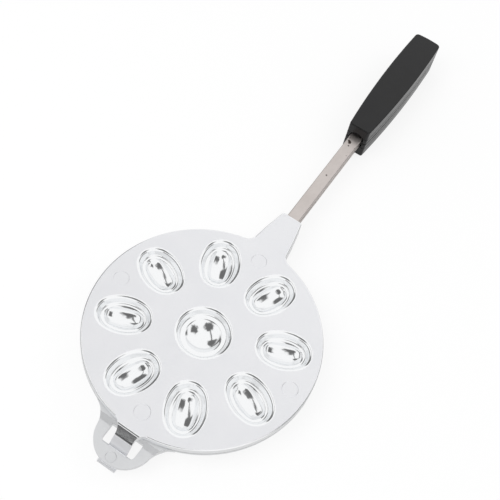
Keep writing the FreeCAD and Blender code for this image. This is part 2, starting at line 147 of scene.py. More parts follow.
class Pen:
    """Draws an outline from a point, in the XY plane at a height or in the XZ plane at a y."""

    def __init__(self, start, level, upright=False):
        self.upright = upright
        self.level = level
        self.at = Vector(start)
        bpy.ops.mesh.primitive_plane_add(size=MM, location=self.place(self.at))
        self.obj = bpy.context.object
        open_mesh(self.obj)
        bpy.ops.mesh.select_all(action="SELECT")
        bpy.ops.mesh.merge(type="CENTER")

    def place(self, p):
        if self.upright:
            return Vector((p[0], self.level, p[1])) * MM
        return Vector((p[0], p[1], self.level)) * MM

    def line(self, to):
        to = Vector(to)
        step = self.place(to) - self.place(self.at)
        bpy.ops.mesh.extrude_region_move(TRANSFORM_OT_translate={"value": step})
        self.at = to
        return self

    def arc(self, centre, degrees, steps):
        """Turns anticlockwise in the drawing plane for positive degrees. Spin counts the other way."""
        axis = (0, -1, 0) if self.upright else (0, 0, 1)
        bpy.ops.mesh.spin(steps=steps, angle=-math.radians(degrees), center=self.place(centre), axis=axis)
        arm = Matrix.Rotation(math.radians(degrees), 2) @ (self.at - Vector(centre))
        self.at = Vector(centre) + arm
        return self

    def close(self, depth):
        """Joins the ends, fills the outline and extrudes it by a depth in millimetres."""
        weld(SAME_POINT)
        bpy.ops.mesh.edge_face_add()
        step = Vector((0, depth, 0) if self.upright else (0, 0, depth)) * MM
        bpy.ops.mesh.extrude_region_move(TRANSFORM_OT_translate={"value": step})
        face_outwards()
        close_mesh()
        return self.obj


def rounded(corners, level, depth, upright=False, steps=6):
    """An extruded polygon. Each corner is x, y and the radius that it is rounded with."""
    count = len(corners)
    runs = []
    for index, (x, y, radius) in enumerate(corners):
        here = Vector((x, y))
        before = (Vector(corners[index - 1][:2]) - here).normalized()
        after = (Vector(corners[(index + 1) % count][:2]) - here).normalized()
        if radius <= 0:
            runs.append((here, None, 0))
            continue
        half = before.angle(after) / 2
        middle = here + (before + after).normalized() * (radius / math.sin(half))
        side = before.x * after.y - before.y * after.x
        turn = math.degrees(math.pi - 2 * half) * (-1 if side > 0 else 1)
        runs.append((here + before * (radius / math.tan(half)), middle, turn))
    pen = Pen(runs[0][0], level, upright)
    for start, middle, turn in runs:
        if (start - pen.at).length > 0.001:
            pen.line(start)
        if middle is not None:
            pen.arc(middle, turn, steps)
    return pen.close(depth)


def meeting(centre_a, radius_a, centre_b, radius_b, near):
    """The point where two circles meet that is nearer to a guess."""
    a, b = Vector(centre_a), Vector(centre_b)
    gap = (b - a).length
    along = (gap ** 2 + radius_a ** 2 - radius_b ** 2) / (2 * gap)
    lift = math.sqrt(radius_a ** 2 - along ** 2)
    way = (b - a) / gap
    across = Vector((-way.y, way.x))
    both = [a + way * along + across * lift * sign for sign in (1, -1)]
    return min(both, key=lambda p: (p - Vector(near)).length)


def turn_between(centre, start, end):
    """Degrees from one point to another about a centre, the short way round."""
    a, b = Vector(start) - Vector(centre), Vector(end) - Vector(centre)
    return math.degrees(math.atan2(a.x * b.y - a.y * b.x, a.dot(b)))


# %% [markdown]
# ## Joining and cutting
# Castings are built the way a pattern maker builds the wooden pattern: simple solids are glued on, and
# hollows are cut out. Each step is a Boolean modifier that is applied at once.

# %% Booleans and rounding
def boolean(obj, tool, operation):
    only(obj)
    step = obj.modifiers.new("step", "BOOLEAN")
    step.operation = operation
    step.solver = "EXACT"
    step.object = tool
    bpy.ops.object.modifier_apply(modifier=step.name)
    bpy.data.objects.remove(tool)
    return obj


def glue(obj, tool):
    return boolean(obj, tool, "UNION")


def carve(obj, tool):
    return boolean(obj, tool, "DIFFERENCE")


def round_over(obj, radius, steps, test):
    """Bevels the edges that pass a test."""
    open_mesh(obj, "EDGE")
    count = mark(obj, "EDGE", test)
    if count:
        bpy.ops.mesh.bevel(offset=radius * MM, segments=steps, profile=0.5, clamp_overlap=True)
    close_mesh()
    return count


def smooth(obj, degrees=32):
    """Smooth shading that keeps flat faces flat."""
    only(obj)
    bpy.ops.object.shade_smooth_by_angle(angle=math.radians(degrees))
    step = obj.modifiers.new("weights", "WEIGHTED_NORMAL")
    step.keep_sharp = True
    bpy.ops.object.modifier_apply(modifier=step.name)


def height(vertex, z):
    return abs(vertex.co.z - z * MM) < 0.01 * MM


def ring(tool, count, first, step):
    """Copies a tool round the Z axis, each copy with its own mesh."""
    copies = []
    for index in range(count):
        copy = own_copy(tool)
        copy.data.transform(Matrix.Rotation(math.radians(first + step * index), 4, "Z"))
        copies.append(copy)
    bpy.data.objects.remove(tool)
    return copies


def slice_off(obj, z, above=True):
    """Cuts everything above or below a height away and closes the cut."""
    open_mesh(obj)
    bpy.ops.mesh.select_all(action="SELECT")
    bpy.ops.mesh.bisect(plane_co=(0, 0, z * MM), plane_no=(0, 0, 1), clear_outer=above,
                        clear_inner=not above, use_fill=True, threshold=0.0001 * MM)
    close_mesh()
    return obj


# %% [markdown]
# ## Sizes
# The same sizes as in the solids, read off the frame where it has them. Heights run from the resting
# plane: the lower domes and the lower grip touch it.

# %% Heights and plate sizes
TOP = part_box("upper_plate")[1].z / MM
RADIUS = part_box("lower_plate")[1].y / MM
RIM_UPPER, RIM_LOWER, PARTING = 5.0, 3.9, 0.3
UNDER = TOP - RIM_UPPER
SEAT = UNDER - PARTING
LOWER_UNDER = SEAT - RIM_LOWER
LEDGE = TOP - 4.8
LEDGE_HALF_LENGTH, LEDGE_HALF_WIDTH = 15.8, 10.4
RING, COUNT, FIRST, STEP = 53.85, 8, 22.5, 45.0
WALL_PUNCH, WALL_DOME, WALL_FLOOR, DOUGH = 3.0, 3.5, 2.9, 3.3
ROOTED = 2.0
GRIP_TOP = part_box("upper_grip_outer_shell")[1].z / MM
MIDDLE = GRIP_TOP / 2
print("plate top", round(TOP, 3), "radius", round(RADIUS, 3), "grip top", round(GRIP_TOP, 3))

# %% [markdown]
# ## The nut shape
# A walnut half is a body that is turned about its long axis, with rounded ends and lobes that run from end
# to end. Its side view is drawn with three tangent arcs and spun round the axis. The lobes are made by
# scaling the meridians out and in by turns, so they fade out at both ends as on a real nut.

# %% Turned nuts
def oval_side(half_length, half_width, end_radius):
    """The long side's arc radius, and where it meets the end's arc."""
    reach = half_length - end_radius
    side = (reach ** 2 + half_width ** 2 - end_radius ** 2) / (2 * (half_width - end_radius))
    tilt = math.atan2(side - half_width, reach)
    return side, reach + end_radius * math.cos(tilt), end_radius * math.sin(tilt)


def nut_sizes(half_length, half_width, end_radius, depth):
    """Half length, middle radius, end radius and axis height of a nut that meets a plane in the half sizes."""
    middle = (half_width ** 2 / depth + depth) / 2
    lift = middle - depth
    return half_length - math.sqrt(end_radius ** 2 - lift ** 2) + end_radius, middle, end_radius, lift


def nut(sizes, plane, grow=0.0, around=48, swells=()):
    """A nut at the ring radius on +X.

    swells is a list of a swell in millimetres and a test, which says on which meridians it acts. Meridian 0
    is the lowest one."""
    half_length, middle, end, lift = sizes
    half_length, middle, end = half_length + grow, middle + grow, end + grow
    side, joint_x, joint_z = oval_side(half_length, middle, end)
    axis_z = plane + lift
    reach = half_length - end
    pen = Pen((RING - half_length, axis_z), 0, upright=True)
    end_turn = math.degrees(math.atan2(joint_z, joint_x - reach))
    pen.arc((RING - reach, axis_z), end_turn, 9)
    pen.arc((RING, axis_z + side - middle), 2 * (90 - end_turn), 16)
    pen.arc((RING + reach, axis_z), end_turn, 9)
    bpy.ops.mesh.select_all(action="SELECT")
    bpy.ops.mesh.spin(steps=around, angle=2 * math.pi, center=Vector((RING, 0, axis_z)) * MM, axis=(1, 0, 0))
    weld(SAME_POLE)
    face_outwards()
    obj = pen.obj
    centre = Vector((RING, 0, axis_z)) * MM
    origin = obj.matrix_world.translation
    for swell, acts_on in swells:
        bpy.ops.mesh.select_all(action="DESELECT")

        def on_meridian(v):
            p = v.co + origin - centre
            return acts_on(round(math.atan2(p.y, -p.z) * around / (2 * math.pi)))

        mark(obj, "VERT", on_meridian)
        scale = (middle + swell) / middle
        bpy.ops.transform.resize(value=(1, scale, scale), center_override=centre)
    close_mesh()
    return settle(obj, "nut")


def lobes(height_mm, period):
    """Swells that rise and fall like a wave round the nut, with this many meridians to a wave."""
    waves = []
    for phase in range(period):
        swell = height_mm * math.cos(2 * math.pi * phase / period)
        waves.append((swell, lambda index, phase=phase: index % period == phase))
    return waves


BOWL = nut_sizes(13.3, 8.2, 8.6, 4.9)
CAVITY = nut_sizes(LEDGE_HALF_LENGTH + WALL_PUNCH + DOUGH, LEDGE_HALF_WIDTH + WALL_PUNCH + DOUGH, 13.0,
                   SEAT - WALL_FLOOR)
print("bowl sizes", [round(v, 2) for v in BOWL], "cavity sizes", [round(v, 2) for v in CAVITY])

# %% [markdown]
# ## Oval walls
# Above the nut each hollow has a steep wall that opens to an oval mouth with a soft lip. At its foot is a
# narrow ledge, which rolls over into the nut. The wall is an oval outline, extruded and scaled ring by ring.

# %% Oval tools
MOUTH_END_SHARE = 0.9
OVER_LENGTH = 5.0
ABOVE, STEP_ON_LIP = 1.0, 0.105


def lip(corner, lean, radius, first=6.0):
    """The round between a level face and a wall that leans by some degrees, with half width corner at TOP.

    Gives the arc's centre, its first point, and the degrees it turns."""
    turn = 90 - lean
    centre = Vector((corner + radius * math.tan(math.radians(turn / 2)), TOP - radius))
    start = centre + Vector((-math.sin(math.radians(first)), math.cos(math.radians(first)))) * radius
    return centre, start, turn - first


def lip_rings(corner, lean, radius, steps=7):
    """Half widths and heights from above the face down to the wall."""
    centre, start, turn = lip(corner, lean, radius)
    rings = [(start.x + ABOVE, TOP + ABOVE), (start.x + ABOVE, start.y + STEP_ON_LIP)]
    for index in range(steps + 1):
        arm = Matrix.Rotation(math.radians(turn * index / steps), 2) @ (start - centre)
        rings.append(tuple(centre + arm))
    return rings


def oval_face(half_length, half_width, end, z):
    """An open mesh with one filled oval, all selected."""
    side, joint_x, joint_y = oval_side(half_length, half_width, end)
    reach = half_length - end
    turn = math.degrees(math.atan2(joint_y, joint_x - reach))
    pen = Pen((RING + joint_x, -joint_y), z)
    pen.arc((RING + reach, 0), 2 * turn, 20)
    pen.arc((RING, half_width - side), 180 - 2 * turn, 14)
    pen.arc((RING - reach, 0), 2 * turn, 20)
    pen.arc((RING, side - half_width), 180 - 2 * turn, 14)
    weld(SAME_POINT)
    bpy.ops.mesh.edge_face_add()
    return pen.obj


def oval_stack(rings):
    """A closed solid through ovals, each given as half length, half width and height, from the top down."""
    length, width, z = rings[0]
    obj = oval_face(length, width, width * MOUTH_END_SHARE, z)
    for next_length, next_width, next_z in rings[1:]:
        bpy.ops.mesh.extrude_region_move(TRANSFORM_OT_translate={"value": (0, 0, (next_z - z) * MM)})
        bpy.ops.transform.resize(value=(next_length / length, next_width / width, 1),
                                 center_override=Vector((RING, 0, next_z)) * MM)
        length, width, z = next_length, next_width, next_z
    face_outwards()
    close_mesh()
    return settle(obj, "oval")


def turned(points, steps=96):
    """A solid turned about the Z axis from an outline of radius and height.

    The outline starts and ends on the axis. An item is a point, or an arc's centre, turn and steps."""
    pen = Pen(points[0], 0, upright=True)
    for item in points[1:]:
        if len(item) == 2:
            pen.line(item)
        else:
            pen.arc(item[0], item[1], item[2])
    bpy.ops.mesh.select_all(action="SELECT")
    bpy.ops.mesh.spin(steps=steps, angle=2 * math.pi, center=(0, 0, 0), axis=(0, 0, 1))
    weld(SAME_POLE)
    face_outwards()
    close_mesh()
    return settle(pen.obj, "turned")


def rod(radius, x, y, low, high, vertices=48):
    bpy.ops.mesh.primitive_cylinder_add(radius=radius * MM, depth=(high - low) * MM, vertices=vertices,
                                        location=Vector((x, y, (low + high) / 2)) * MM)
    return settle(bpy.context.object, "rod")


# %% [markdown]
# ## The upper casting
# Its outline is one drawing: the disc, a concave fillet on each side, and the neck that tapers to the bar.

# %% Outline of disc and neck
NECK_ROOT, NECK_BEND, NECK_TIP = Vector((70.0, 15.2)), Vector((96.5, 11.2)), Vector((112.7, 7.9))
FILLET, TIP_ROUND = 7.0, 2.2
side_way = (NECK_BEND - NECK_ROOT).normalized()
side_out = Vector((-side_way.y, side_way.x))
far_line = NECK_ROOT + side_out * FILLET
half_chord = far_line.dot(side_way)
run = -half_chord + math.sqrt(half_chord ** 2 - far_line.length_squared + (RADIUS + FILLET) ** 2)
FILLET_CENTRE = far_line + side_way * run
ON_DISC = FILLET_CENTRE * (RADIUS / (RADIUS + FILLET))
ON_NECK = FILLET_CENTRE - side_out * FILLET


def flipped(p):
    return Vector((p[0], -p[1]))


def plate_with_neck(z, thickness):
    """The disc and neck as one outline, drawn anticlockwise from the tip's lower corner."""
    tip_way = (NECK_BEND - NECK_TIP).normalized()
    corner = NECK_TIP
    half = tip_way.angle(Vector((0, -1))) / 2
    reach = TIP_ROUND / math.tan(half)
    tip_centre = corner + (tip_way + Vector((0, -1))).normalized() * (TIP_ROUND / math.sin(half))
    on_end = corner + Vector((0, -1)) * reach
    on_side = corner + tip_way * reach
    corner_turn = turn_between(tip_centre, on_end, on_side)
    disc_turn = turn_between((0, 0), flipped(ON_DISC), ON_DISC)
    fillet_turn = turn_between(FILLET_CENTRE, ON_NECK, ON_DISC)
    pen = Pen(flipped(on_end), z)
    pen.line(on_end).arc(tip_centre, corner_turn, 6).line(NECK_BEND).line(ON_NECK)
    pen.arc(FILLET_CENTRE, fillet_turn, 10)
    pen.arc((0, 0), 360 - disc_turn, 224)
    pen.arc(flipped(FILLET_CENTRE), fillet_turn, 10)
    pen.line(flipped(NECK_BEND)).line(flipped(on_side)).arc(flipped(tip_centre), corner_turn, 6)
    return settle(pen.close(thickness), "plate")


upper = plate_with_neck(UNDER, RIM_UPPER)
print("outline corners", len(upper.data.vertices) // 2)

# %% Edges of the outline
def on_top_rim(e):
    return height(e.verts[0], TOP) and height(e.verts[1], TOP)


print("rounded", round_over(upper, 1.0, 4, on_top_rim), "edges of the rim")

# %% [markdown]
# ## Punches, tongue and deep neck
# Under the disc eight punches shape the inside of the cookies. At the hinge side a tongue slopes down and
# turns under the other casting's cross bar. Its side view is extruded too wide and trimmed by its plan, so it
# widens into the disc with two fillets. The neck is deeper than the plate, but only outside the disc.

# %% Punches under the plate
SHOULDER = ((LEDGE_HALF_LENGTH, LEDGE_HALF_WIDTH, TOP - ROOTED), (15.0, 9.6, LEDGE - WALL_PUNCH + 0.6),
            (14.6, 9.2, LEDGE - WALL_PUNCH))
shoulder = oval_stack([(length + WALL_PUNCH, width + WALL_PUNCH, z) for length, width, z in SHOULDER])
for copy in ring(shoulder, COUNT, FIRST, STEP):
    glue(upper, copy)
back = nut(BOWL, LEDGE, WALL_PUNCH)
for copy in ring(slice_off(back, TOP - 2.5), COUNT, FIRST, STEP):
    glue(upper, copy)
print("faces with punches", len(upper.data.polygons))


# %% Round punch in the middle
def ball_through(radius, sag):
    return (radius ** 2 / sag + sag) / 2


def round_bottom(radius, rim_z, sag, steps=14):
    """An arc from a rim down to the axis, as an item for a turned outline."""
    ball = ball_through(radius, sag)
    return ((0, rim_z - sag + ball), -math.degrees(math.asin(radius / ball)), steps)


CENTRE_MOUTH, CENTRE_FOOT, CENTRE_RIM, CENTRE_SAG = 18.0, 15.2, 12.6, 4.6
rim_z = LEDGE - WALL_PUNCH
centre_back = turned([(0, TOP - ROOTED), (CENTRE_MOUTH + WALL_PUNCH, TOP - ROOTED),
                      (CENTRE_FOOT + WALL_PUNCH, rim_z), (CENTRE_RIM + WALL_PUNCH, rim_z),
                      round_bottom(CENTRE_RIM + WALL_PUNCH, rim_z, CENTRE_SAG)])
glue(upper, centre_back)
print("faces with the middle punch", len(upper.data.polygons))

# %% Tongue with its hook
HINGE = Vector(frame["joints"][0]["pos_m"]) / MM
TAB_THICK = 3.6
TAB_TOP, TAB_BOTTOM = HINGE.z + TAB_THICK / 2, HINGE.z - TAB_THICK / 2
POCKET = TAB_THICK / 2 + 0.3
TONGUE_WIDTH, TONGUE_THICK, TONGUE_END = 13.0, 3.0, -104.8
crest = HINGE.x + POCKET * math.sqrt(2) + TOP - HINGE.z
arm_top = HINGE.z - POCKET
arm_bottom = arm_top - TONGUE_THICK
inner = TONGUE_THICK * math.sqrt(2)
SAG_X, SAG_Z = 4.7, 6.1
UNDER_ROUND, HOOK_ROUND, POCKET_ROUND, BEND_ROUND, CREST_ROUND = 2.0, 1.2, 1.0, 8.0, 2.4
ROOT_X, BLANK_WIDTH = -77.0, 24
tongue = rounded([
    (ROOT_X, TOP, 0), (ROOT_X, UNDER, 0), (crest + inner - RIM_UPPER, UNDER, UNDER_ROUND),
    (crest + inner - TOP + arm_bottom, arm_bottom, TONGUE_THICK), (TONGUE_END, arm_bottom, HOOK_ROUND),
    (TONGUE_END, arm_top, HOOK_ROUND), (crest - TOP + arm_top, arm_top, POCKET_ROUND),
    (crest - SAG_X, TOP - SAG_Z, BEND_ROUND), (crest, TOP, CREST_ROUND),
], -BLANK_WIDTH / 2, BLANK_WIDTH, upright=True)
settle(tongue, "tongue")

# %% Plan of the tongue
TONGUE_FILLET = 7.0
side_y = TONGUE_WIDTH / 2
flare_y = side_y + TONGUE_FILLET
flare = Vector((-math.sqrt((RADIUS + TONGUE_FILLET) ** 2 - flare_y ** 2), flare_y))
on_rim = flare * (RADIUS / (RADIUS + TONGUE_FILLET))
flare_turn = turn_between(flare, (flare.x, side_y), on_rim)
pen = Pen((-76, -on_rim.y), arm_bottom - 1)
pen.line((-76, on_rim.y)).line(on_rim).arc(flare, -flare_turn, 10).line((-106, side_y)).line((-106, -side_y))
pen.line((flare.x, -side_y)).arc(flipped(flare), -flare_turn, 10)
plan = settle(pen.close(TOP - arm_bottom + 2), "plan")
boolean(tongue, plan, "INTERSECT")


def on_tongue_side(e):
    a, b = e.verts
    beside = min(abs(a.co.y), abs(b.co.y)) > (side_y - 0.01) * MM and a.co.y * b.co.y > 0
    if not beside or max(a.co.x, b.co.x) > -79.6 * MM or len(e.link_faces) != 2:
        return False
    return e.link_faces[0].normal.angle(e.link_faces[1].normal) > 0.8


print("side edges of the tongue", round_over(tongue, 0.7, 3, on_tongue_side))
glue(upper, tongue)
print("tongue from", round(TONGUE_END, 1), "to", round(crest, 1))

# %% Deep neck
INNER_UPPER = MIDDLE + PARTING / 2
NECK_CLEARANCE = 0.7


def deep_neck(low, high):
    block = plate_with_neck(low, high - low)
    keep_out = rod(RADIUS + NECK_CLEARANCE, 0, 0, low - 1, high + 1, 192)
    return carve(block, keep_out)


glue(upper, deep_neck(INNER_UPPER, UNDER + 1.0))
print("neck from", round(INNER_UPPER, 2), "to", round(TOP, 2))

# %% [markdown]
# ## Hollows
# The back of each punch is a polished hollow in the outer face. The oval wall and the lobed bowl are cut one
# after the other. The wall's cutter ends in an arc at the top, which gives the mouth the soft lip of a
# casting, and at its foot it rolls over into the bowl.

# %% Cutting the hollows
LIP_RADIUS, MOUTH, WALL_LEAN, CENTRE_LEAN = 2.8, 13.0, 29.6, 33.0
WALL_FOOT = ((10.9, 1.1), (10.45, 0.4), (10.0, 0.08), (9.5, 0))
ROLLED_RIM = ((8.9, -0.08), (8.3, -0.32), (7.8, -0.7), (7.0, -0.95))
outline = lip_rings(MOUTH, WALL_LEAN, LIP_RADIUS)
outline += [(width, LEDGE + rise) for width, rise in WALL_FOOT + ROLLED_RIM]
wall = oval_stack([(width + OVER_LENGTH, width, z) for width, z in outline])
for copy in ring(wall, COUNT, FIRST, STEP):
    carve(upper, copy)
LOBE_HEIGHT, LOBE_PERIOD = 0.08, 16
bowl = nut(BOWL, LEDGE, 0.0, around=160, swells=lobes(LOBE_HEIGHT, LOBE_PERIOD))
for copy in ring(slice_off(bowl, LEDGE + 0.5), COUNT, FIRST, STEP):
    carve(upper, copy)
ROLL, ROLL_TURN, CENTRE_BOWL = 1.8, 38, 11.8
lip_centre, lip_start, lip_turn = lip(CENTRE_MOUTH, CENTRE_LEAN, LIP_RADIUS)
roll_start = CENTRE_BOWL + ROLL * math.sin(math.radians(ROLL_TURN))
roll_drop = ROLL * (1 - math.cos(math.radians(ROLL_TURN)))
over_lip = lip_start.x + ABOVE
centre = turned([
    (0, TOP + ABOVE), (over_lip, TOP + ABOVE), (over_lip, lip_start.y + STEP_ON_LIP), tuple(lip_start),
    (tuple(lip_centre), lip_turn, 8), (15.9, LEDGE + 1.0), (15.4, LEDGE + 0.35), (14.9, LEDGE + 0.05),
    (roll_start, LEDGE), ((roll_start, LEDGE - ROLL), ROLL_TURN, 6),
    round_bottom(CENTRE_BOWL, LEDGE - roll_drop, CENTRE_SAG - roll_drop, 18)], 160)
carve(upper, centre)
print("faces with hollows", len(upper.data.polygons))

# %% [markdown]
# ## Marks and the bar's socket
# Ejector pins leave a shallow round print in a casting that is pushed out of its die. There are four on this
# face. Each one is cut with a cone, because the print's edge is worn and catches the light as a soft ring. The
# neck has a slot for the bar and a blind hole for the pin that holds it.

# %% Marks, socket and pin hole
MARK_DEPTH, MARK_MARGIN = 0.25, 0.05
SOCKET_FIT, PIN_FIT, END_GAP, PIN_GAP = 0.06, 0.02, 0.3, 0.1


def piece_box(name):
    low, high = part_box(name)
    return Vector(low) / MM, Vector(high) / MM


def box_between(low, high):
    """A box from two opposite corners."""
    low, high = Vector(low), Vector(high)
    bpy.ops.mesh.primitive_cube_add(size=1, location=(low + high) / 2 * MM, scale=(high - low) * MM)
    return settle(bpy.context.object, "box")


BAR_LOW, BAR_HIGH = piece_box("upper_bar")
PIN_LOW, PIN_HIGH = piece_box("upper_bar_pin")
PIN_X, PIN_RADIUS = (PIN_LOW.x + PIN_HIGH.x) / 2, (PIN_HIGH.y - PIN_LOW.y) / 2
MARK_RADIUS, MARK_RING, MARK_SLOPE = 5.5, 67.4, 0.28


def print_of_pin(radius, x, z):
    """A cone that cuts a shallow print with a sloping edge."""
    bpy.ops.mesh.primitive_cone_add(radius1=(radius - MARK_SLOPE) * MM, radius2=(radius + MARK_SLOPE) * MM,
                                    depth=2 * MARK_DEPTH * MM, vertices=64, location=Vector((x, 0, z)) * MM)
    return settle(bpy.context.object, "print")


for copy in ring(print_of_pin(MARK_RADIUS, MARK_RING, TOP), 4, 0, 90):
    carve(upper, copy)
fit = Vector((END_GAP, SOCKET_FIT, SOCKET_FIT))
socket_low, socket_high = BAR_LOW - fit, Vector((NECK_TIP.x + 1, BAR_HIGH.y + fit.y, BAR_HIGH.z + fit.z))


def below(z):
    """A height of the upper handle, mirrored to the lower one."""
    return 2 * MIDDLE - z


carve(upper, box_between(socket_low, socket_high))
carve(upper, rod(PIN_RADIUS + PIN_FIT, PIN_X, 0, INNER_UPPER - 1, PIN_HIGH.z + PIN_GAP))
print("bar from", [round(v, 2) for v in BAR_LOW], "to", [round(v, 2) for v in BAR_HIGH])


# %% Place the upper casting
def polish(obj, is_matt):
    """Stores 1 where the skin is bright and 0 where it is matt, for the material to read."""
    attribute = obj.data.attributes.new("polish", "FLOAT", "POINT")
    for vertex, value in zip(obj.data.vertices, attribute.data):
        value.value = 0.0 if is_matt(vertex.co / MM) else 1.0


def on_mark(p):
    x, y = max(abs(p.x), abs(p.y)), min(abs(p.x), abs(p.y))
    return p.z > TOP - MARK_DEPTH - MARK_MARGIN and math.hypot(x - MARK_RING, y) < MARK_RADIUS + MARK_SLOPE


def on_tongue_foot(p):
    return p.x < crest - SAG_X - FOOT_MARGIN and p.z < TOP - SAG_Z - FOOT_MARGIN


FLAT_MARGIN, FOOT_MARGIN = 0.015, 0.5
polish(upper, lambda p: p.z > TOP - FLAT_MARGIN or on_mark(p) or on_tongue_foot(p))
smooth(upper)
settle(upper, "upper_casting")
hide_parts("upper_plate")
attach(upper, "upper_half")
print("upper casting faces", len(upper.data.polygons))

# %% [markdown]
# ## The lower casting
# The lower disc has the same radius and a rounder bottom edge. Its neck hangs lower, so that the two handles
# lie one above the other. At the hinge side a round tab is stepped down from the disc by a ramp.

# %% Disc and neck
bpy.ops.mesh.primitive_cylinder_add(radius=RADIUS * MM, depth=RIM_LOWER * MM, vertices=224,
                                    location=(0, 0, (LOWER_UNDER + SEAT) / 2 * MM))
lower = settle(bpy.context.object, "lower_casting")


def level_edge(z):
    return lambda e: height(e.verts[0], z) and height(e.verts[1], z)


round_over(lower, 1.6, 5, level_edge(LOWER_UNDER))
NECK_HEIGHT = TOP - INNER_UPPER
NECK_FLOOR = below(TOP)
lower_neck = rounded([
    (NECK_ROOT.x, -NECK_ROOT.y, 0), (NECK_BEND.x, -NECK_BEND.y, 0), (NECK_TIP.x, -NECK_TIP.y, TIP_ROUND),
    (NECK_TIP.x, NECK_TIP.y, TIP_ROUND), (NECK_BEND.x, NECK_BEND.y, 0), (NECK_ROOT.x, NECK_ROOT.y, 0),
], NECK_FLOOR, NECK_HEIGHT)
settle(lower_neck, "neck")
round_over(lower_neck, 1.2, 4, level_edge(NECK_FLOOR))
glue(lower, lower_neck)
print("lower disc from", round(LOWER_UNDER, 2), "to", round(SEAT, 2))

# %% Round tab
TAB_RADIUS, TAB_X, TAB_FILLET = 20.0, -84.0, 17.0
RAMP, RAMP_ROUND = 3.4, 0.8
IN_DISC, PAST_TAB = -70, -110
fillet_centre = meeting((0, 0), RADIUS + TAB_FILLET, (TAB_X, 0), TAB_RADIUS + TAB_FILLET, (-80, 30))
on_disc = fillet_centre * (RADIUS / (RADIUS + TAB_FILLET))
from_tab = fillet_centre - Vector((TAB_X, 0))
tab_joint = Vector((TAB_X, 0)) + from_tab * (TAB_RADIUS / (TAB_RADIUS + TAB_FILLET))
fillet_turn = turn_between(fillet_centre, on_disc, tab_joint)
tab_turn = 360 - 2 * math.degrees(math.atan2(tab_joint.y, tab_joint.x - TAB_X))
pen = Pen((IN_DISC - 1, -on_disc.y), TAB_BOTTOM)
pen.line((IN_DISC - 1, on_disc.y)).line(on_disc).arc(fillet_centre, fillet_turn, 12)
pen.arc((TAB_X, 0), tab_turn, 60).arc(flipped(fillet_centre), fillet_turn, 12)
tab = settle(pen.close(SEAT - TAB_BOTTOM), "tab")
round_over(tab, 1.0, 4, level_edge(TAB_BOTTOM))
side_view = rounded([
    (IN_DISC, SEAT, 0), (-RADIUS, SEAT, RAMP_ROUND), (-RADIUS - RAMP, TAB_TOP, RAMP_ROUND),
    (PAST_TAB, TAB_TOP, 0), (PAST_TAB, TAB_BOTTOM, 0), (-RADIUS, TAB_BOTTOM, 0),
    (-RADIUS + RAMP, LOWER_UNDER, 0), (IN_DISC, LOWER_UNDER, 0),
], -60, 120, upright=True)
boolean(tab, settle(side_view, "side"), "INTERSECT")
glue(lower, tab)
print("tab from", round(TAB_BOTTOM, 2), "to", round(TAB_TOP, 2))

# %% [markdown]
# ## Domes and cavities
# Each walnut cavity shows on the outside as a dome with an even wall. The domes are flat where they rest.
# The cavities have ribs, which print the lines of a walnut shell on the cookie.

# %% Domes
def upper_cut(tool):
    return slice_off(slice_off(tool, SEAT - 1.2), 0.0, above=False)


for copy in ring(upper_cut(nut(CAVITY, SEAT, WALL_DOME, around=72)), COUNT, FIRST, STEP):
    glue(lower, copy)
MIDDLE_CAVITY, MIDDLE_SAG = 21.5, 13.5
bulge = turned([(0, SEAT), (MIDDLE_CAVITY + WALL_DOME, SEAT),
                round_bottom(MIDDLE_CAVITY + WALL_DOME, SEAT, MIDDLE_SAG + WALL_DOME, 24)], 128)
glue(lower, upper_cut(bulge))
print("faces with domes", len(lower.data.polygons))

# %% Cavities with ribs
RIB_HEIGHT, RIB_COUNT, RIB_STEP, AROUND = 0.9, 3, 29, 120
rib_places = [round(RIB_STEP * (i - (RIB_COUNT - 1) / 2) * AROUND / 360) for i in range(RIB_COUNT)]
cavity = nut(CAVITY, SEAT, 0.0, AROUND, [(-RIB_HEIGHT, lambda index: index in rib_places)])
for copy in ring(slice_off(cavity, SEAT + 1), COUNT, FIRST, STEP):
    carve(lower, copy)
bowl = turned([(0, SEAT + 1), (MIDDLE_CAVITY, SEAT + 1), (MIDDLE_CAVITY, SEAT),
               round_bottom(MIDDLE_CAVITY, SEAT, MIDDLE_SAG, 24)], 128)
carve(lower, bowl)
print("faces with cavities", len(lower.data.polygons))


# %% Rims of the cavities
def is_cavity_rim(e):
    if not level_edge(SEAT)(e) or len(e.link_faces) != 2:
        return False
    middle = (e.verts[0].co + e.verts[1].co) / 2
    up = sorted(face.normal.z for face in e.link_faces)
    return math.hypot(middle.x, middle.y) < (RADIUS - 3) * MM and up[0] < 0.99 < up[1]


print("rim edges", round_over(lower, 0.5, 2, is_cavity_rim))

# %% Window, mark, socket and pin hole
WINDOW_X, WINDOW_HALF, WINDOW_ROUND = -81.6, 12.0, 4.2
window = rounded([
    (HINGE.x, -WINDOW_HALF, WINDOW_ROUND), (WINDOW_X, -WINDOW_HALF, 0), (WINDOW_X, WINDOW_HALF, 0),
    (HINGE.x, WINDOW_HALF, WINDOW_ROUND),
], TAB_BOTTOM - 1, SEAT - TAB_BOTTOM + 2, steps=8)
settle(window, "window")
bpy.ops.mesh.primitive_cylinder_add(radius=TAB_THICK / 2 * MM, depth=4 * WINDOW_HALF * MM, vertices=48,
                                    location=HINGE * MM, rotation=(math.pi / 2, 0, 0))
carve(window, settle(bpy.context.object, "pivot"))
carve(lower, window)
TAB_MARK_RADIUS, TAB_MARK_X = 3.6, -99.2
carve(lower, print_of_pin(TAB_MARK_RADIUS, TAB_MARK_X, TAB_TOP))
carve(lower, box_between((socket_low.x, socket_low.y, below(socket_high.z)),
                         (socket_high.x, socket_high.y, below(socket_low.z))))
carve(lower, rod(PIN_RADIUS + PIN_FIT, PIN_X, 0, below(PIN_HIGH.z + PIN_GAP), below(INNER_UPPER - 1)))


def on_tab(p):
    return p.x < -RADIUS + 3 and p.z > TAB_TOP - MARK_DEPTH - MARK_MARGIN


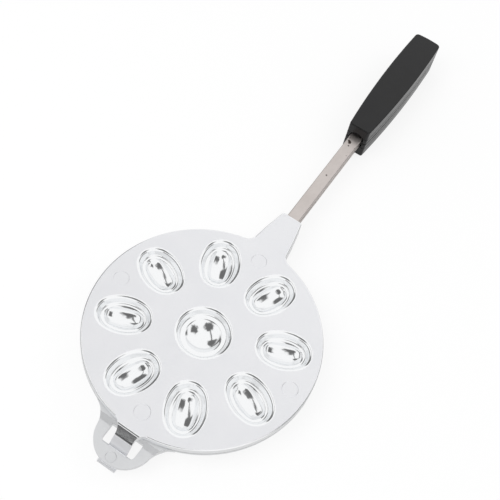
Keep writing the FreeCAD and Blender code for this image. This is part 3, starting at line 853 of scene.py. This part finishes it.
polish(lower, lambda p: p.z > SEAT - 0.1 or on_tab(p))
smooth(lower)
settle(lower, "lower_casting")
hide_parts("lower_plate")
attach(lower, "lower_half")
print("lower casting faces", len(lower.data.polygons))

# %% [markdown]
# ## Bars
# A flat steel bar is cut from a rolled strip, whose long edges are slightly round. It has one hole for the pin
# and two for the screws. The lower handle is the mirror image of the upper one, so each piece is made once,
# copied with its own mesh and mirrored.

# %% Steel bars
SCREW_X = (235.0, 285.0)
SCREW_RADIUS, SCREW_PLAY, THREAD_PLAY, SCREW_BITE = 1.5, 0.2, 0.03, 5.7


def mirrored(obj, name):
    """The lower handle's copy of a piece."""
    copy = own_copy(obj)
    open_mesh(copy)
    bpy.ops.mesh.select_all(action="SELECT")
    bpy.ops.transform.mirror(constraint_axis=(False, False, True), center_override=(0, 0, MIDDLE * MM))
    bpy.ops.mesh.normals_make_consistent(inside=False)
    close_mesh()
    return settle(copy, name)


def place_pair(obj, name, node):
    """Makes the lower copy and puts both on their bodies in place of the solids."""
    pair = {"upper": settle(obj, "upper_" + name)}
    pair["lower"] = mirrored(obj, "lower_" + name)
    for half, piece in pair.items():
        smooth(piece)
        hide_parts(half + "_" + node)
        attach(piece, half + "_half")
        print(piece.name, "faces", len(piece.data.polygons))
    return list(pair.values())


bar = box_between(BAR_LOW, BAR_HIGH)
round_over(bar, 0.7, 3, lambda e: abs(e.verts[0].co.x - e.verts[1].co.x) > 100 * MM)
carve(bar, rod(PIN_RADIUS + PIN_FIT, PIN_X, 0, BAR_LOW.z - 1, BAR_HIGH.z + 1))
for x in SCREW_X:
    carve(bar, rod(SCREW_RADIUS + SCREW_PLAY, x, 0, BAR_LOW.z - 1, BAR_HIGH.z + 1))
bars = place_pair(bar, "flat_bar", "bar")

# %% [markdown]
# ## Grips
# Each grip is two moulded shells round the end of the bar: a deep outer one and a flat inner cover. Seen from
# above the outline swells to a belly and ends in a slightly bulged end with round corners.

# %% Outline of a grip
GRIP_START, GRIP_END, BELLY_X = 208.0, 325.5, 268.0
FRONT, BELLY, REAR, BULGE, CORNER = 8.7, 12.1, 11.0, 0.78, 3.0
FRONT_ROUND, TOP_ROUND, SEAM_ROUND, COVER_ROUND = 1.4, 1.0, 0.6, 0.9
GRIP_WALL, ROOF_DROP, FRONT_BLOCK, BOSS_RADIUS = 2.4, 1.4, 11.5, 4.2
MOUTH_RADIUS, MOUTH_DEPTH = 6.1, 3.5
SPLIT = INNER_UPPER + 5.0


def circle_through(a, b, c):
    """Centre and radius of the circle through three points."""
    a, b, c = Vector(a), Vector(b), Vector(c)
    twice = 2 * ((b - a).x * (c - a).y - (b - a).y * (c - a).x)
    p, q = (b - a).length_squared, (c - a).length_squared
    away = Vector(((c - a).y * p - (b - a).y * q, (b - a).x * q - (c - a).x * p)) / twice
    return a + away, away.length


def grip_outline(inset, z, depth):
    x0, x1 = GRIP_START + inset, GRIP_END - inset
    front, belly, rear = FRONT - inset, BELLY - inset, REAR - inset
    side_centre, side = circle_through((x0, -front), (BELLY_X, -belly), (x1, -rear))
    end_centre, end = circle_through((x1, -rear), (x1 + BULGE, 0), (x1, rear))
    corner = meeting(side_centre, side - CORNER, end_centre, end - CORNER, (x1 - CORNER, CORNER - rear))
    on_side = side_centre + (corner - side_centre).normalized() * side
    on_end = end_centre + (corner - end_centre).normalized() * end
    side_turn = turn_between(side_centre, (x0, -front), on_side)
    corner_turn = turn_between(corner, on_side, on_end)
    pen = Pen((x0, -front), z)
    pen.arc(side_centre, side_turn, 28).arc(corner, corner_turn, 8)
    pen.arc(end_centre, turn_between(end_centre, on_end, flipped(on_end)), 10)
    pen.arc(flipped(corner), corner_turn, 8).arc(flipped(side_centre), side_turn, 28)
    return settle(pen.close(depth), "grip")


def lying_rod(radius, x0, x1, z):
    """A rod along X on the middle plane."""
    bpy.ops.mesh.primitive_cylinder_add(radius=radius * MM, depth=(x1 - x0) * MM, vertices=64,
                                        location=Vector(((x0 + x1) / 2, 0, z)) * MM,
                                        rotation=(0, math.pi / 2, 0))
    return settle(bpy.context.object, "rod")


def grip_mouth():
    """The arch-shaped room round the bar at the grip's front."""
    arch = lying_rod(MOUTH_RADIUS, GRIP_START - 1, GRIP_START + MOUTH_DEPTH, BAR_LOW.z)
    return slice_off(arch, BAR_LOW.z, above=False)


print("grip from", GRIP_START, "to", GRIP_END + BULGE, "split at", round(SPLIT, 2))


# %% Outer shells
def upright_at_front(e):
    a, b = e.verts
    upright = abs(a.co.x - b.co.x) < 0.01 * MM and abs(a.co.y - b.co.y) < 0.01 * MM
    return upright and a.co.x < (GRIP_START + 0.1) * MM


outer = grip_outline(0, SPLIT, GRIP_TOP - SPLIT)
round_over(outer, FRONT_ROUND, 4, upright_at_front)
round_over(outer, TOP_ROUND, 4, level_edge(GRIP_TOP))
round_over(outer, SEAM_ROUND, 3, level_edge(SPLIT))
room = grip_outline(GRIP_WALL, SPLIT - 1, GRIP_TOP - SPLIT - ROOF_DROP)
carve(room, box_between((GRIP_START, -20, 0), (GRIP_START + FRONT_BLOCK, 20, 40)))
for x in SCREW_X:
    carve(room, rod(BOSS_RADIUS, x, 0, 0, 40))
carve(outer, room)
carve(outer, grip_mouth())
for x in SCREW_X:
    carve(outer, rod(SCREW_RADIUS + THREAD_PLAY, x, 0, SPLIT - 1, SPLIT + SCREW_BITE))
outers = place_pair(outer, "grip_outer", "grip_outer_shell")

# %% Inner shells
inner = grip_outline(0, INNER_UPPER, SPLIT - INNER_UPPER)
round_over(inner, FRONT_ROUND, 4, upright_at_front)
round_over(inner, SEAM_ROUND, 3, level_edge(SPLIT))
round_over(inner, COVER_ROUND, 3, level_edge(INNER_UPPER))
half = BAR_HIGH.y + SOCKET_FIT
carve(inner, box_between((GRIP_START - 1, -half, BAR_LOW.z), (BAR_HIGH.x + END_GAP, half, SPLIT + 1)))
carve(inner, grip_mouth())
HEAD_RADIUS, HEAD_HEIGHT, SINK = 2.9, 1.1, 0.1
for x in SCREW_X:
    carve(inner, rod(SCREW_RADIUS + SCREW_PLAY, x, 0, INNER_UPPER - 1, SPLIT + 1))
    carve(inner, rod(HEAD_RADIUS + SCREW_PLAY, x, 0, INNER_UPPER - 1, INNER_UPPER + SINK))
    bpy.ops.mesh.primitive_cone_add(radius1=(HEAD_RADIUS + SCREW_PLAY) * MM,
                                    radius2=(SCREW_RADIUS + SCREW_PLAY) * MM,
                                    depth=HEAD_HEIGHT * MM, vertices=48,
                                    location=Vector((x, 0, INNER_UPPER + SINK + HEAD_HEIGHT / 2)) * MM)
    carve(inner, settle(bpy.context.object, "seat"))
inners = place_pair(inner, "grip_inner", "grip_inner_shell")

# %% [markdown]
# ## Materials
# Colours are written as the hex values that they have on a screen. One function turns them to the linear
# values that the renderer counts with, and another adds a node with its settings and links.

# %% Colours and nodes
def colour(text):
    values = []
    for start in (1, 3, 5):
        part = int(text[start:start + 2], 16) / 255
        values.append(part / 12.92 if part <= 0.04045 else ((part + 0.055) / 1.055) ** 2.4)
    return (*values, 1.0)


def add(tree, kind, settings=None, **inputs):
    """Adds a node. Each input gets a value or the output of another node.

    An input's name is written with _ for a space, and n and a number mean the socket at that place."""
    made = tree.nodes.new(kind)
    for name, value in (settings or {}).items():
        setattr(made, name, value)
    for name, value in inputs.items():
        number = name[1:].isdigit() and name[0] == "n"
        socket = made.inputs[int(name[1:]) if number else name.replace("_", " ")]
        if isinstance(value, bpy.types.NodeSocket):
            tree.links.new(value, socket)
        else:
            socket.default_value = value
    return made


def new_material(name):
    material = bpy.data.materials.new(name)
    material.use_nodes = True
    tree = material.node_tree
    shader = tree.nodes["Principled BSDF"]
    place = add(tree, "ShaderNodeTexCoord").outputs["Object"]
    return material, tree, shader, place


def per_mm(size):
    """The scale of a pattern whose features are this many millimetres wide."""
    return 1 / (size * MM)


# %% [markdown]
# ## Cast aluminium
# Die-cast aluminium. The flat outer faces are blasted, so they are matt and pale. The hollows and the steep
# walls keep the bright skin of a polished die. The attribute on the mesh says which is which. The metal keeps
# the default IOR. A slow ripple in the bright skin bends the reflections as in the real hollows. The lower
# casting gets a greyer copy of the same metal: this is painted shade, because it lies under the upper one.

# %% Cast aluminium
def cast_aluminium(name, dark, light):
    """Matt in a mix of two greys where the attribute is 0, and bright where it is 1."""
    material, tree, shader, place = new_material(name)
    bright = add(tree, "ShaderNodeAttribute", {"attribute_name": "polish"}).outputs["Fac"]
    cloud = add(tree, "ShaderNodeTexNoise", Vector=place, Scale=per_mm(22), Detail=3.0).outputs["Fac"]
    grain = add(tree, "ShaderNodeTexNoise", Vector=place, Scale=per_mm(0.9), Detail=2.0).outputs["Fac"]
    ripple = add(tree, "ShaderNodeTexNoise", Vector=place, Scale=per_mm(7), Detail=1.0).outputs["Fac"]
    matt = add(tree, "ShaderNodeMix", {"data_type": "RGBA"}, n0=cloud, n6=colour(dark), n7=colour(light))
    skin = add(tree, "ShaderNodeMix", {"data_type": "RGBA"}, n0=bright, n6=matt.outputs[2],
               n7=colour("#F6F7F8"))
    tree.links.new(skin.outputs[2], shader.inputs["Base Color"])
    matt_rough = add(tree, "ShaderNodeMapRange", Value=grain, n3=0.42, n4=0.52)
    rough = add(tree, "ShaderNodeMix", n0=bright, n2=matt_rough.outputs[0], n3=0.10)
    tree.links.new(rough.outputs[0], shader.inputs["Roughness"])
    grain_bump = add(tree, "ShaderNodeBump", Height=grain, Strength=0.12, Distance=0.05 * MM)
    ripple_bump = add(tree, "ShaderNodeBump", Height=ripple, Strength=0.2, Distance=0.12 * MM,
                      Normal=grain_bump.outputs[0])
    tree.links.new(ripple_bump.outputs[0], shader.inputs["Normal"])
    shader.inputs["Metallic"].default_value = 1.0
    return material


# The lower casting's two greys are darker than the upper's. That is painted shade for the casting that lies
# underneath.
for piece, name, dark, light in ((upper, "cast_aluminium_pale", "#EFF0F3", "#F7F7F9"),
                                 (lower, "cast_aluminium_painted_shade", "#DEDFE1", "#ECEDEE")):
    piece.data.materials.clear()
    piece.data.materials.append(cast_aluminium(name, dark, light))
    print("material", name)

# %% [markdown]
# ## Rolled steel
# Plain cold-rolled steel strip, bare and a little stained by heat. It is a warm grey with fine lines along the
# bar, and near the grip it has dark specks of burnt-on oil.

# %% Rolled steel
strip, tree, shader, place = new_material("rolled_steel")
along = add(tree, "ShaderNodeMapping", Vector=place, Scale=(0.04, 1.0, 1.0)).outputs[0]
lines = add(tree, "ShaderNodeTexNoise", Vector=along, Scale=per_mm(0.8), Detail=3.0).outputs["Fac"]
stain = add(tree, "ShaderNodeTexNoise", Vector=place, Scale=per_mm(14), Detail=3.0).outputs["Fac"]
specks = add(tree, "ShaderNodeTexNoise", Vector=place, Scale=per_mm(4.2), Detail=1.0).outputs["Fac"]
warm = add(tree, "ShaderNodeMix", {"data_type": "RGBA"}, n0=stain, n6=colour("#C3BBB7"), n7=colour("#DAD3CF"))
near_grip = add(tree, "ShaderNodeSeparateXYZ", Vector=place).outputs[0]
MORE_NEAR_GRIP = 0.16
near_grip = add(tree, "ShaderNodeMapRange", Value=near_grip, n1=175 * MM, n2=200 * MM, n3=0.0,
                n4=MORE_NEAR_GRIP).outputs[0]
speck = add(tree, "ShaderNodeMath", {"operation": "ADD"}, n0=specks, n1=near_grip).outputs[0]
SPECK_FROM, SPECK_FULL = 0.78, 0.82
speck = add(tree, "ShaderNodeMapRange", Value=speck, n1=SPECK_FROM, n2=SPECK_FULL).outputs[0]
stained = add(tree, "ShaderNodeMix", {"data_type": "RGBA"}, n0=speck, n6=warm.outputs[2], n7=colour("#4A423E"))
tree.links.new(stained.outputs[2], shader.inputs["Base Color"])
rough = add(tree, "ShaderNodeMapRange", Value=lines, n3=0.30, n4=0.46).outputs[0]
tree.links.new(rough, shader.inputs["Roughness"])
scored = add(tree, "ShaderNodeBump", Height=lines, Strength=0.2, Distance=0.04 * MM).outputs[0]
tree.links.new(scored, shader.inputs["Normal"])
shader.inputs["Metallic"].default_value = 1.0
for piece in bars:
    piece.data.materials.clear()
    piece.data.materials.append(strip)
print("material", strip.name)

# %% [markdown]
# ## Moulded black plastic
# Heat-proof phenolic plastic, moulded in a satin die. It is near black, and its sheen comes from the surface.

# %% Black plastic
phenolic, tree, shader, place = new_material("moulded_phenolic")
mottle = add(tree, "ShaderNodeTexNoise", Vector=place, Scale=per_mm(9), Detail=4.0).outputs["Fac"]
fine = add(tree, "ShaderNodeTexNoise", Vector=place, Scale=per_mm(0.7), Detail=2.0).outputs["Fac"]
black = add(tree, "ShaderNodeMix", {"data_type": "RGBA"}, n0=mottle, n6=colour("#141415"), n7=colour("#1D1D1E"))
tree.links.new(black.outputs[2], shader.inputs["Base Color"])
rough = add(tree, "ShaderNodeMapRange", Value=mottle, n3=0.16, n4=0.26).outputs[0]
tree.links.new(rough, shader.inputs["Roughness"])
satin = add(tree, "ShaderNodeBump", Height=fine, Strength=0.05, Distance=0.03 * MM).outputs[0]
tree.links.new(satin, shader.inputs["Normal"])
shader.inputs["IOR"].default_value = 1.55
shader.inputs["Specular IOR Level"].default_value = 0.3
for piece in outers + inners:
    piece.data.materials.clear()
    piece.data.materials.append(phenolic)
print("material", phenolic.name)

# %% [markdown]
# ## Pins and screws
# The pins are bright drawn steel, and the screws are zinc plated, a slightly blue grey. Both kinds are small
# and mostly hidden, so the solids from the frame stay and only get a finish.

# %% Pin and screw finishes
def small_metal(name, dark, light, low, high):
    material, tree, shader, place = new_material(name)
    noise = add(tree, "ShaderNodeTexNoise", Vector=place, Scale=per_mm(1.2), Detail=2.0).outputs["Fac"]
    mix = add(tree, "ShaderNodeMix", {"data_type": "RGBA"}, n0=noise, n6=colour(dark), n7=colour(light))
    tree.links.new(mix.outputs[2], shader.inputs["Base Color"])
    rough = add(tree, "ShaderNodeMapRange", Value=noise, n3=low, n4=high).outputs[0]
    tree.links.new(rough, shader.inputs["Roughness"])
    shader.inputs["Metallic"].default_value = 1.0
    return material


finishes = {
    "bar_pin": small_metal("drawn_steel", "#B9B7B5", "#CBC9C7", 0.22, 0.34),
    "grip_screws": small_metal("zinc_plated_steel", "#B4BAC0", "#CDD3D9", 0.26, 0.4),
}
for half in ("upper", "lower"):
    for part, material in finishes.items():
        solid = bpy.data.objects[half + "_" + part]
        solid.data.materials.clear()
        solid.data.materials.append(material)
print("materials", [m.name for m in finishes.values()])

# %% [markdown]
# ## The studio
# A white floor, a white surround and two soft lamps. The camera and the mirror-like hollows see a pure white
# surround. The hollows also need something dark to reflect, as they do in any studio, so the surround that
# glossy rays see has a few dark patches: they stand for the camera stand and the open sides of the room. A ray
# that has bounced before sees them pale, which keeps the steep walls of the hollows calm.

# %% Floor
bpy.ops.mesh.primitive_plane_add(size=6.0, location=(0.1, 0, 0))
floor = settle(bpy.context.object, "floor")
paper, tree, shader, place = new_material("white_paper")
fibre = add(tree, "ShaderNodeTexNoise", Vector=place, Scale=per_mm(3), Detail=2.0).outputs["Fac"]
white = add(tree, "ShaderNodeMix", {"data_type": "RGBA"}, n0=fibre, n6=colour("#FDFDFD"), n7=colour("#FFFFFF"))
tree.links.new(white.outputs[2], shader.inputs["Base Color"])
shader.inputs["Roughness"].default_value = 0.9
shader.inputs["Specular IOR Level"].default_value = 0.1
LARGER, PRODUCT = {"operation": "MAXIMUM"}, {"operation": "MULTIPLY"}
SEEN_WHITE, FLOOR_IN_METAL, FLOOR_SEEN = 0.8, 0.72, 1.03
rays = add(tree, "ShaderNodeLightPath").outputs
direct = add(tree, "ShaderNodeMath", LARGER, n0=rays["Is Camera Ray"], n1=rays["Is Glossy Ray"]).outputs[0]
share = add(tree, "ShaderNodeMath", PRODUCT, n0=direct, n1=SEEN_WHITE).outputs[0]
glow = add(tree, "ShaderNodeMapRange", Value=rays["Is Camera Ray"], n3=FLOOR_IN_METAL, n4=FLOOR_SEEN).outputs[0]
pure = add(tree, "ShaderNodeEmission", Strength=glow).outputs[0]
mixed = add(tree, "ShaderNodeMixShader", n0=share, n1=shader.outputs[0], n2=pure).outputs[0]
tree.links.new(mixed, tree.nodes["Material Output"].inputs["Surface"])
floor.data.materials.append(paper)

# %% World
world = bpy.data.worlds.new("studio")
bpy.context.scene.world = world
world.use_nodes = True
tree = world.node_tree
surround = tree.nodes["Background"]
direction = add(tree, "ShaderNodeTexCoord").outputs["Generated"]


def toward(way, start, full, source=None):
    """1 where the direction points along a way, fading to 0 between two cosines."""
    cosine = add(tree, "ShaderNodeVectorMath", {"operation": "DOT_PRODUCT"}, n0=source or direction,
                 n1=Vector(way).normalized()).outputs["Value"]
    return add(tree, "ShaderNodeMapRange", {"interpolation_type": "SMOOTHSTEP"}, Value=cosine, n1=start,
               n2=full).outputs[0]


STAND, ARM_END = Vector((-0.524, 0.068, 0.849)), Vector((0.349, 0.756, 0.553))
OTHER_END = Vector((0.25, -0.615, 0.748))
PATCHES = ((STAND, 0.93, 0.975), (ARM_END, 0.945, 0.98), (OTHER_END, 0.945, 0.98))
UNEVEN, PATCH_DEPTH = 0.35, 0.94
uneven = add(tree, "ShaderNodeTexNoise", Vector=direction, Scale=5.0, Detail=1.0).outputs["Color"]
uneven = add(tree, "ShaderNodeVectorMath", {"operation": "SUBTRACT"}, n0=uneven, n1=(0.5, 0.5, 0.5)).outputs[0]
bent = add(tree, "ShaderNodeVectorMath", {"operation": "MULTIPLY_ADD"}, n0=uneven, n1=(UNEVEN, UNEVEN, UNEVEN),
           n2=direction).outputs[0]
bent = add(tree, "ShaderNodeVectorMath", {"operation": "NORMALIZE"}, n0=bent).outputs[0]
dark = 0.0
for way, start, full in PATCHES:
    dark = add(tree, "ShaderNodeMath", LARGER, n0=dark, n1=toward(way, start, full, bent)).outputs[0]
print("dark patches", len(PATCHES))

# %% The stand's arm and the room's open sides
across_arm = STAND.cross(ARM_END).normalized()
off_arm = add(tree, "ShaderNodeVectorMath", {"operation": "DOT_PRODUCT"}, n0=direction, n1=across_arm)
off_arm = add(tree, "ShaderNodeMath", {"operation": "ABSOLUTE"}, n0=off_arm.outputs["Value"]).outputs[0]
arm = add(tree, "ShaderNodeMapRange", {"interpolation_type": "SMOOTHSTEP"}, Value=off_arm, n1=0.055, n2=0.025)
arm = add(tree, "ShaderNodeMath", PRODUCT, n0=arm.outputs[0], n1=toward(STAND + ARM_END, 0.80, 0.84)).outputs[0]
dark = add(tree, "ShaderNodeMath", LARGER, n0=dark, n1=arm).outputs[0]
dark = add(tree, "ShaderNodeMath", PRODUCT, n0=dark, n1=PATCH_DEPTH).outputs[0]
sides = add(tree, "ShaderNodeMath", LARGER, n0=toward((-0.407, 0.914, 0), 0.38, 0.50),
            n1=toward((0.469, -0.883, 0), 0.79, 0.88)).outputs[0]
low_sides = add(tree, "ShaderNodeMath", PRODUCT, n0=toward((0, 0, -1), -0.42, -0.27), n1=sides).outputs[0]
dark = add(tree, "ShaderNodeMath", LARGER, n0=dark, n1=low_sides).outputs[0]

# %% Light from the surround
GLOSSY_DARK, DARK_AGAIN, DIFFUSE_LEVEL = 0.9, 0.2, 0.62
path = add(tree, "ShaderNodeLightPath").outputs
fresh = add(tree, "ShaderNodeMapRange", Value=path["Ray Depth"], n1=2.0, n2=3.0, n3=1.0, n4=DARK_AGAIN)
dark = add(tree, "ShaderNodeMath", PRODUCT, n0=dark, n1=fresh.outputs[0]).outputs[0]
level = add(tree, "ShaderNodeMapRange", Value=dark, n3=1.0, n4=1.0 - GLOSSY_DARK).outputs[0]
seen = add(tree, "ShaderNodeMath", LARGER, n0=path["Is Camera Ray"], n1=path["Is Transmission Ray"]).outputs[0]
bounce = add(tree, "ShaderNodeMix", n0=path["Is Glossy Ray"], n2=DIFFUSE_LEVEL, n3=level).outputs[0]
strength = add(tree, "ShaderNodeMix", n0=seen, n2=bounce, n3=1.0).outputs[0]
tree.links.new(strength, surround.inputs["Strength"])
surround.inputs["Color"].default_value = (1, 1, 1, 1)
print("the surround lights matt surfaces at", DIFFUSE_LEVEL)

# %% Lamps
def soft_lamp(name, place, aim, size, power):
    bpy.ops.object.light_add(type="AREA", location=place)
    lamp = bpy.context.object
    lamp.name = name
    lamp.data.size = size
    lamp.data.energy = power
    lamp.visible_glossy = False
    lamp.rotation_euler = (Vector(aim) - Vector(place)).to_track_quat("-Z", "Y").to_euler()
    return lamp


soft_lamp("key_lamp", (-0.5, 0.5, 1.1), (0.08, 0, 0), 0.9, 5.0)
soft_lamp("fill_lamp", (0.9, -0.6, 0.9), (0.1, 0, 0), 0.7, 2.0)

# %% [markdown]
# ## The camera
# The camera looks down at the plate with the handle pointing up and to the right. Its place was found by
# matching the plate's outline, the hollows' centres and the marks, so it is written as two angles, a roll, a
# distance and the lens.

# %% Camera
AZIMUTH, ELEVATION, ROLL = math.radians(-68.73), math.radians(58.78), math.radians(13.79)
DISTANCE, LENS, ACROSS, UP = 594.89, 65.25, 30.33, 54.15
back = Vector((math.sin(AZIMUTH) * math.cos(ELEVATION), -math.cos(AZIMUTH) * math.cos(ELEVATION),
               math.sin(ELEVATION)))
level_right = Vector((0, 0, 1)).cross(back).normalized()
level_up = back.cross(level_right)
right = level_right * math.cos(ROLL) + level_up * math.sin(ROLL)
upward = level_up * math.cos(ROLL) - level_right * math.sin(ROLL)
place = (back * DISTANCE + right * ACROSS + upward * UP + Vector((0, 0, TOP))) * MM
bpy.ops.object.camera_add()
camera = bpy.context.object
camera.matrix_world = Matrix.Translation(place) @ Matrix((right, upward, back)).transposed().to_4x4()
camera.data.lens = LENS
camera.data.sensor_width = 36
camera.data.clip_start = 0.01
bpy.context.scene.camera = camera
bpy.context.scene.view_settings.view_transform = "Standard"
print("camera at", [round(v / MM, 1) for v in place])
